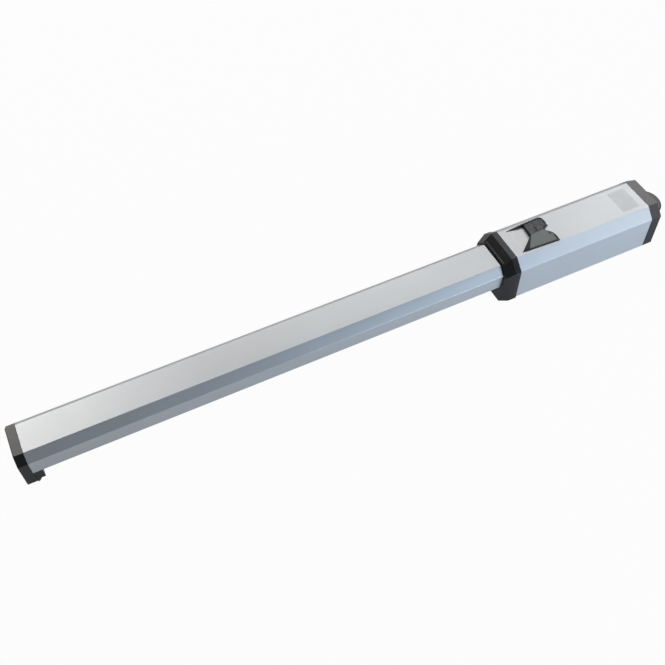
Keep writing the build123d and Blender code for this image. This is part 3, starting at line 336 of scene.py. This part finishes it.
def grey_plastic():
    finish = Finish("grey_plastic")
    x = finish.coordinate("X")
    y = finish.coordinate("Y")
    grain = finish.noise(450.0, detail=4.0)
    cloud = finish.noise(60.0)
    beyond_ridge = y - RIDGE_START.y - RIDGE_SLOPE * (x - RIDGE_START.x)
    near = finish.mask(beyond_ridge, RIDGE_SHARPNESS)
    side = y - LID_BREAK.y
    near_side = finish.node("ShaderNodeMath", {"operation": "MAXIMUM"}, {0: side, 1: 0.0})
    far_side = finish.node("ShaderNodeMath", {"operation": "MINIMUM"}, {0: side, 1: 0.0})
    # The painted shadow: a black band along the lid's front, where its front wall lies in shade
    shadow_line = BEAK_SLOPE * near_side + FAR_SLOPE * far_side + (LID_BREAK.x - PAINTED_SHADOW_WIDTH)
    edge = finish.mask(x - shadow_line, SHADOW_SHARPNESS)
    # Painted shade and light: the far facet's grey is darker and the near facet's lighter,
    # because the facets lean away from and towards the lamps; the grain in them is real
    coarse_and_shaded = finish.colours(grain, (0.35, (0.055, 0.057, 0.062)), (0.65, (0.220, 0.223, 0.230)))
    smooth = finish.colours(cloud, (0.3, (0.245, 0.252, 0.250)), (0.7, (0.275, 0.283, 0.280)))
    black = finish.colours(grain, (0.3, (0.006, 0.006, 0.007)), (0.7, (0.012, 0.012, 0.013)))
    tone = finish.blend(edge, finish.blend(near, coarse_and_shaded, smooth), black)
    finish.set(Base_Color=tone, Roughness=0.55 - 0.15 * near + 0.1 * grain)
    finish.bump(grain * (1 - near), depth=0.12, strength=0.6)
    return finish


keep(grey_plastic())

# %% [markdown]
# ## The metals
# Machined and drawn metals differ in the direction of their marks. Turned pieces have rings
# about the ram's axis, a drawn tube has lines along it, and castings are grainy. The same
# noise gives all three, stretched along another axis or not at all. The mounting lug is a
# casting too, but painted black, so it is hardly a metal to the light.

# %% Bare metals
# Each metal: its dark and its light tone, its roughness, the scale of its marks, how they
# are stretched, and their depth in mm
METALS = {
    "zinc_steel": ((0.52, 0.53, 0.56), (0.68, 0.68, 0.66), 0.28, 90.0, EVEN, 0.03),
    "chrome_rod": ((0.78, 0.79, 0.81), (0.86, 0.87, 0.88), 0.05, 1.0, (1500.0, 40.0, 40.0), 0.01),
    "tube_steel": ((0.30, 0.31, 0.33), (0.44, 0.45, 0.47), 0.30, 1.0, (5.0, 700.0, 700.0), 0.03),
    "cast_aluminium": ((0.55, 0.56, 0.57), (0.68, 0.69, 0.70), 0.42, 900.0, EVEN, 0.03),
    "magnet_ferrite": ((0.05, 0.05, 0.055), (0.09, 0.09, 0.095), 0.55, 700.0, EVEN, 0.03),
    "copper": ((0.62, 0.31, 0.17), (0.80, 0.44, 0.27), 0.24, 1.0, (1200.0, 60.0, 60.0), 0.03),
    "core_steel": ((0.26, 0.26, 0.28), (0.42, 0.42, 0.44), 0.34, 1.0, (2400.0, 20.0, 20.0), 0.03),
    "brass": ((0.66, 0.48, 0.20), (0.78, 0.60, 0.28), 0.24, 500.0, EVEN, 0.03),
}


def bare_metal(name, dark, light, rough, scale, stretch, depth):
    finish = Finish(name)
    marks = finish.noise(scale, detail=4.0, stretch=stretch)
    tone = finish.colours(marks, (0.3, dark), (0.7, light))
    finish.set(Base_Color=tone, Metallic=1.0, Roughness=rough + 0.14 * marks)
    finish.bump(marks, depth, strength=0.4)
    return finish


for name, look in METALS.items():
    keep(bare_metal(name, *look))


# %% Black casting
def black_casting():
    finish = Finish("black_casting")
    sand = finish.noise(1100.0, detail=4.0)
    tone = finish.colours(sand, (0.3, (0.008, 0.008, 0.009)), (0.7, (0.018, 0.018, 0.020)))
    finish.set(Base_Color=tone, Metallic=0.1, Roughness=0.24 + 0.1 * sand)
    finish.bump(sand, depth=0.03, strength=0.5)
    return finish


keep(black_casting())

# %% Every node gets its finish
slot_of = {row["node"]: row["material_slot"] for row in frame["record"]["subparts"]}
for node, thing in frame["nodes"].items():
    thing.data.materials.clear()
    thing.data.materials.append(finishes[slot_of[node]])
print(len(slot_of), "nodes finished in", len(finishes), "materials")

# %% [markdown]
# ## Soft edges
# No real edge is knife sharp: a thin band along it catches the light and tells the eye that
# the piece is solid. The solids have sharp edges, so each outer piece is shown by a copy
# with its edges rounded. Edges could be picked one by one, but a Bevel modifier with an angle
# limit finds them all. The copy is merged first, because the solid is loose triangles.

# %% Rounding a piece's edges
EDGE_SEGMENTS = 2
CORNER_ANGLE = math.radians(25.0)
SMOOTH_ANGLE = math.radians(35.0)


def deselect():
    bpy.ops.object.select_all(action="DESELECT")


def pick(piece):
    """Select one object alone, because an operator acts on all that is selected."""
    deselect()
    piece.select_set(True)
    bpy.context.view_layer.objects.active = piece


def join_flat(merge, flat):
    """In edit mode, join corners closer than merge mm and faces within flat degrees."""
    bpy.ops.mesh.select_all(action="SELECT")
    bpy.ops.mesh.remove_doubles(threshold=merge * MM)
    bpy.ops.mesh.dissolve_limited(angle_limit=math.radians(flat))


def round_corners(piece, width):
    """Bevel the corners of a picked piece, and keep its flat faces flat to the light."""
    bpy.ops.object.modifier_add(type="BEVEL")
    bevel = piece.modifiers[-1]
    bevel.width = width * MM
    bevel.segments = EDGE_SEGMENTS
    bevel.limit_method = "ANGLE"
    bevel.angle_limit = CORNER_ANGLE
    bpy.ops.object.modifier_apply(modifier=bevel.name)
    bpy.ops.object.shade_smooth_by_angle(angle=SMOOTH_ANGLE)
    bpy.ops.object.modifier_add(type="WEIGHTED_NORMAL")
    weighted = piece.modifiers[-1]
    weighted.keep_sharp = True
    bpy.ops.object.modifier_apply(modifier=weighted.name)


# %% Copies with rounded edges
SOLID_MERGE = 0.002
SOLID_FLAT = 1.0
EDGE_WIDTHS = {
    "motor_housing": 0.5,
    "ram_cover": 0.35,
    "rear_cap": 0.9,
    "front_cap": 1.3,
    "release_frame": 0.4,
    "release_ramp": 0.3,
    "release_lid": 0.35,
    "lid_latch": 0.5,
}
body_of_node = {}
for body, members in frame["record"]["behaviour"]["bodies"].items():
    for member in members:
        body_of_node[member] = body


def soften(node, width):
    """A rounded copy of a node, which then stands for it."""
    pick(frame["nodes"][node])
    bpy.ops.object.duplicate()
    piece = bpy.context.object
    piece.name = node + "_rounded"
    bpy.ops.object.mode_set(mode="EDIT")
    join_flat(SOLID_MERGE, SOLID_FLAT)
    bpy.ops.object.mode_set(mode="OBJECT")
    round_corners(piece, width)
    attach(piece, body_of_node[node])
    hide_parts(node)


for node, width in EDGE_WIDTHS.items():
    soften(node, width)
    print("rounded", node, "by", width, "mm")

# %% [markdown]
# ## The front collar
# The collar is the moulded mouth that the cover slides out of. Behind its crest it is flat like
# the housing, and in front of it every side is planed off, down to a thin lip round the mouth.
# A block could be extruded and its corners moved by hand, but slanting planes give exactly such
# faces. So a block is cut with bisect, and the hollow and the mouth are taken out with Boolean
# modifiers.

# %% A block and its planes
CLOSE = 0.1


def block(name, low, high):
    """A box between two corners, in millimetres."""
    deselect()
    centre = [(first + last) / 2 * MM for first, last in zip(low, high)]
    bpy.ops.mesh.primitive_cube_add(size=1.0, location=centre)
    piece = bpy.context.object
    piece.name = name
    piece.scale = [(last - first) * MM for first, last in zip(low, high)]
    bpy.ops.object.transform_apply(location=True, rotation=True, scale=True)
    return piece


def outward_at(turn):
    """The way out of the ram's axis, turned by so many degrees from straight up."""
    return Vector((0.0, math.sin(math.radians(turn)), math.cos(math.radians(turn))))


def plane_off(piece, point, normal):
    """Cut away what lies beyond a plane, on the side that its normal points to."""
    pick(piece)
    bpy.ops.object.mode_set(mode="EDIT")
    bpy.ops.mesh.select_all(action="SELECT")
    place = [value * MM for value in point]
    bpy.ops.mesh.bisect(plane_co=place, plane_no=normal, use_fill=True, clear_outer=True)
    bpy.ops.object.mode_set(mode="OBJECT")


# %% Chosen edges and holes
def round_edges(piece, chosen, radius, segments=5):
    """Bevel the edges whose two ends pass a test."""
    pick(piece)
    bpy.ops.object.mode_set(mode="EDIT")
    bpy.ops.mesh.select_mode(type="EDGE")
    bpy.ops.mesh.select_all(action="DESELECT")
    bpy.ops.object.mode_set(mode="OBJECT")
    corners = piece.data.vertices
    for edge in piece.data.edges:
        ends = [corners[index].co / MM for index in edge.vertices]
        edge.select = chosen(*ends)
    bpy.ops.object.mode_set(mode="EDIT")
    bpy.ops.mesh.bevel(offset=radius * MM, segments=segments, affect="EDGES")
    bpy.ops.object.mode_set(mode="OBJECT")


def cut(piece, tool):
    """Take one piece out of another."""
    pick(piece)
    bpy.ops.object.modifier_add(type="BOOLEAN")
    modifier = piece.modifiers[-1]
    modifier.operation = "DIFFERENCE"
    modifier.solver = "EXACT"
    modifier.object = tool
    bpy.ops.object.modifier_apply(modifier=modifier.name)
    bpy.data.objects.remove(tool)


# %% Finishing a new piece
NEW_MERGE = 0.01
NEW_FLAT = 0.5


def finish_piece(piece, body, slot, width, replaced=()):
    """Round a new piece's edges, and name its body, its finish and the nodes it stands for."""
    pick(piece)
    bpy.ops.object.mode_set(mode="EDIT")
    join_flat(NEW_MERGE, NEW_FLAT)
    bpy.ops.mesh.normals_make_consistent(inside=False)
    bpy.ops.object.mode_set(mode="OBJECT")
    round_corners(piece, width)
    piece.data.materials.clear()
    piece.data.materials.append(finishes[slot])
    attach(piece, body)
    if replaced:
        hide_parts(*replaced)
    print(piece.name, "has", len(piece.data.polygons), "faces")


# %% The collar's form
COLLAR_BACK = 278.0
COLLAR_CREST = 287.5
COLLAR_FRONT = 307.0
COLLAR_HALF = 46.8
COLLAR_TOP = 40.8
COLLAR_CORNER = 49.88
COLLAR_BOTTOM = -41.8
COLLAR_WALL = 2.2
COLLAR_LIP = 3.0
FOOT_RADIUS = 4.8
# The front face leans back by 7 mm over the housing's height, from its foot upwards
FRONT_FOOT = -40.0
FRONT_LEAN = 7.0 / 79.0
# The underside rises towards the front from here on
RAISE_START = 284.0
BOTTOM_RAISE = 0.2
# Each side: its turn about the axis, its distance from the axis, how steeply it falls
COLLAR_SIDES = [
    (0, COLLAR_TOP, 0.89),
    (45, COLLAR_CORNER, 0.68),
    (-45, COLLAR_CORNER, 0.68),
    (90, COLLAR_HALF, 0.33),
    (-90, COLLAR_HALF, 0.33),
]


def collar_block(name, inset, back, front):
    """The collar's outer form, with every wall moved inwards by inset."""
    half = COLLAR_HALF - inset
    bottom = COLLAR_BOTTOM + inset
    piece = block(name, (back, -half, bottom), (front, half, COLLAR_TOP - inset))

    def foot(first, last):
        low = max(first.z, last.z) < bottom + CLOSE
        return low and abs(first.y - last.y) < CLOSE

    round_edges(piece, foot, FOOT_RADIUS - inset)
    for turn, distance, slope in COLLAR_SIDES:
        outward = outward_at(turn)
        if distance == COLLAR_CORNER:
            plane_off(piece, outward * (distance - inset), outward)
        crest = outward * (distance - inset * math.hypot(1.0, slope))
        crest.x = COLLAR_CREST
        plane_off(piece, crest, outward + Vector((slope, 0.0, 0.0)))
    plane_off(piece, (front, 0.0, FRONT_FOOT), (1.0, 0.0, FRONT_LEAN))
    plane_off(piece, (RAISE_START, 0.0, bottom), (BOTTOM_RAISE, 0.0, -1.0))
    return piece


# %% The mouth of the collar
COVER_HALF = 36.0
COVER_TOP = 27.7
COVER_BOTTOM = -9.3
COVER_CHAMFER = 12.0
COVER_CORNER = (COVER_HALF + COVER_TOP - COVER_CHAMFER) / math.sqrt(2.0)
MOUTH_REACH = 3.3
MOUTH_BACK = 285.0
MOUTH_BOTTOM = COVER_BOTTOM - 1.0
BEYOND_FRONT = COLLAR_FRONT + 3.0
BARREL_HOLE_RADIUS = 23.5
BARREL_HOLE_DEPTH = 40.0
BARREL_HOLE_SIDES = 72


def mouth_block(name, grow, back, front, bottom=MOUTH_BOTTOM):
    """The outline of the cover, moved outwards by grow, as a block."""
    half = COVER_HALF + grow
    piece = block(name, (back, -half, bottom), (front, half, COVER_TOP + grow))
    for turn in (45, -45):
        outward = outward_at(turn)
        plane_off(piece, outward * (COVER_CORNER + grow), outward)
    return piece


def barrel_hole():
    deselect()
    middle = (COLLAR_CREST + COLLAR_FRONT) / 2 * MM
    bpy.ops.mesh.primitive_cylinder_add(
        vertices=BARREL_HOLE_SIDES,
        radius=BARREL_HOLE_RADIUS * MM,
        depth=BARREL_HOLE_DEPTH * MM,
        location=(middle, 0.0, 0.0),
        rotation=(0.0, math.pi / 2, 0.0),
    )
    bpy.ops.object.transform_apply(location=True, rotation=True, scale=True)
    return bpy.context.object


collar = collar_block("front_collar_form", 0.0, COLLAR_BACK, COLLAR_FRONT)
behind_lip = COLLAR_FRONT - COLLAR_LIP
cut(collar, collar_block("collar_hollow", COLLAR_WALL, COLLAR_BACK - 1.0, behind_lip))
cut(collar, mouth_block("collar_mouth", MOUTH_REACH, MOUTH_BACK, BEYOND_FRONT))
cut(collar, barrel_hole())
finish_piece(collar, "housing", "black_plastic", 0.45, replaced=("front_collar",))

# %% [markdown]
# ## The wiper in the mouth
# A black ring lines the mouth and wipes the cover as it slides in. It follows the cover on five
# sides and stands a little proud of the collar's lip, where its narrow flat rim shines. It could
# be an inset of the lip's faces, but it has to fit the planes of the cover and of the collar, so
# it is cut from a block with the same planes.

# %% The wiper
WIPER_GAP = 0.6
WIPER_REACH = 4.3
WIPER_BACK = 293.0
WIPER_FRONT = COLLAR_FRONT - 0.4
HOLE_BACK = 290.0
HOLE_BOTTOM = COVER_BOTTOM - 4.0
# Each side: its turn, the distance of the cover's face, and where the rim begins to slant
WIPER_SIDES = [
    (0, COVER_TOP, 298.9),
    (45, COVER_CORNER, 301.0),
    (-45, COVER_CORNER, 301.0),
    (90, COVER_HALF, 303.0),
    (-90, COVER_HALF, 303.0),
]
wiper = mouth_block("mouth_wiper", WIPER_REACH, WIPER_BACK, WIPER_FRONT)
for turn, distance, start in WIPER_SIDES:
    outward = outward_at(turn)
    point = outward * (distance + WIPER_REACH)
    point.x = start
    plane_off(wiper, point, outward + Vector((1.0, 0.0, 0.0)))
plane_off(wiper, (WIPER_FRONT, 0.0, FRONT_FOOT), (1.0, 0.0, FRONT_LEAN))
cut(wiper, mouth_block("wiper_hole", WIPER_GAP, HOLE_BACK, BEYOND_FRONT, HOLE_BOTTOM))
finish_piece(wiper, "housing", "black_plastic", 0.25)

# %% [markdown]
# ## The label place
# Behind the release device the housing has a place for a label. It is left blank: a thin satin
# film with rounded corners, pressed onto the metal. It could be drawn by a shader, but a film
# with an edge of its own catches the light as the real one does.

# %% The blank film
LABEL_LOW = (44.0, -22.0, 38.95)
LABEL_HIGH = (75.0, 22.0, 39.1)
LABEL_CORNER = 2.5


def label_film():
    finish = Finish("label_film")
    fibre = finish.noise(900.0, detail=3.0)
    cloud = finish.noise(45.0)
    both = fibre * 0.4 + cloud * 0.6
    tone = finish.colours(both, (0.35, (0.62, 0.63, 0.64)), (0.65, (0.70, 0.71, 0.72)))
    finish.set(Base_Color=tone, Metallic=0.45, Roughness=0.38 + 0.1 * fibre)
    finish.bump(fibre, depth=0.01, strength=0.4)
    return finish


def upright(first, last):
    return abs(first.z - last.z) > CLOSE


film = block("label_film", LABEL_LOW, LABEL_HIGH)
round_edges(film, upright, LABEL_CORNER)
finish_piece(film, "housing", "silver_plastic", 0.03)
film.data.materials[0] = label_film().material

# %% [markdown]
# ## Floor, light and white background
# The opener lies on a pale floor that runs out of sight. The camera sees floor and sky white,
# and gloss sees the floor brighter than it is, as a studio table looks in polished metal. More
# light on the floor would whiten it as well, but it would bleach the opener too. The lamps
# stand where the opener's flat tops mirror them towards the camera, one behind each end and
# one behind the middle, and a low cool one lights the near side.

# %% Floor
FLOOR_SIZE = 14.0
FLOOR_CENTRE = 0.5
FLOOR_GREY = (0.50, 0.51, 0.53, 1.0)
WHITE_TO_CAMERA = 0.97
WHITE_TO_GLOSS = 0.36


def add_floor():
    deselect()
    place = (FLOOR_CENTRE, 0.0, cad_low.z)
    bpy.ops.mesh.primitive_plane_add(size=FLOOR_SIZE, location=place)
    floor = bpy.context.object
    floor.name = "floor"
    finish = Finish("floor")
    finish.set(Base_Color=FLOOR_GREY, Roughness=0.9, Specular_IOR_Level=0.0)
    surface = Wire(finish.tree, finish.shader.outputs[0])
    glow = finish.node("ShaderNodeEmission", {}, {"Strength": 1.0})
    seen = finish.ray("Is Camera Ray") * WHITE_TO_CAMERA
    share = seen + finish.ray("Is Glossy Ray") * WHITE_TO_GLOSS
    mixed = finish.node("ShaderNodeMixShader", {}, {"Fac": share, 1: surface, 2: glow})
    finish.plug(finish.tree.nodes["Material Output"].inputs["Surface"], mixed)
    floor.data.materials.append(finish.material)
    print("floor at height", cad_low.z)


add_floor()

# %% World
SKY_TINT = (0.94, 0.97, 1.0, 1.0)
SKY_LIGHT = 0.14


def add_world():
    world = bpy.data.worlds.new("studio")
    bpy.context.scene.world = world
    world.use_nodes = True
    studio = Nodes(world.node_tree)
    background = studio.tree.nodes["Background"]
    strength = SKY_LIGHT + (1.0 - SKY_LIGHT) * studio.ray("Is Camera Ray")
    studio.plug(background.inputs["Color"], SKY_TINT)
    studio.plug(background.inputs["Strength"], strength)
    print("sky lights the opener with", SKY_LIGHT)


add_world()

# %% Lamps
WHITE = (1.0, 1.0, 1.0)
WARM = (1.0, 0.96, 0.91)
COLD = (0.60, 0.78, 1.0)
AT_MIDDLE = (0.45, 0.0, 0.0)
AT_NOSE = (1.0, 0.0, 0.0)
AT_REAR = (0.1, 0.0, 0.0)
AT_HOUSING = (0.15, 0.0, 0.0)
# Each lamp: its name, place, length and width, power, tint, and the place it points at
LAMPS = [
    ("far_light", (0.5, -2.0, 1.7), (3.0, 1.2), 22.0, WHITE, AT_MIDDLE),
    ("middle_light", (-0.45, -1.25, 1.9), (0.9, 0.5), 2.6, WHITE, AT_MIDDLE),
    ("nose_light", (1.35, -1.2, 1.7), (0.6, 0.5), 4.0, WARM, AT_NOSE),
    ("rear_light", (-1.35, -1.1, 1.6), (0.7, 0.5), 5.6, WHITE, AT_REAR),
    ("side_light", (-0.9, 1.0, 0.8), (0.6, 0.4), 1.8, WHITE, AT_REAR),
    ("low_light", (-0.3, 1.2, 0.13), (1.0, 0.22), 13.5, COLD, AT_HOUSING),
]


def add_lamp(name, place, size, power, tint, aim):
    bpy.ops.object.light_add(type="AREA", location=place)
    lamp = bpy.context.object
    lamp.name = name
    lamp.data.shape = "RECTANGLE"
    lamp.data.size, lamp.data.size_y = size
    lamp.data.energy = power
    lamp.data.color = tint
    lamp.rotation_mode = "QUATERNION"
    lamp.rotation_quaternion = (Vector(aim) - Vector(place)).to_track_quat("-Z", "Y")
    print(name, "gives", power, "W")


for lamp in LAMPS:
    add_lamp(*lamp)
bpy.context.scene.view_settings.view_transform = "Standard"
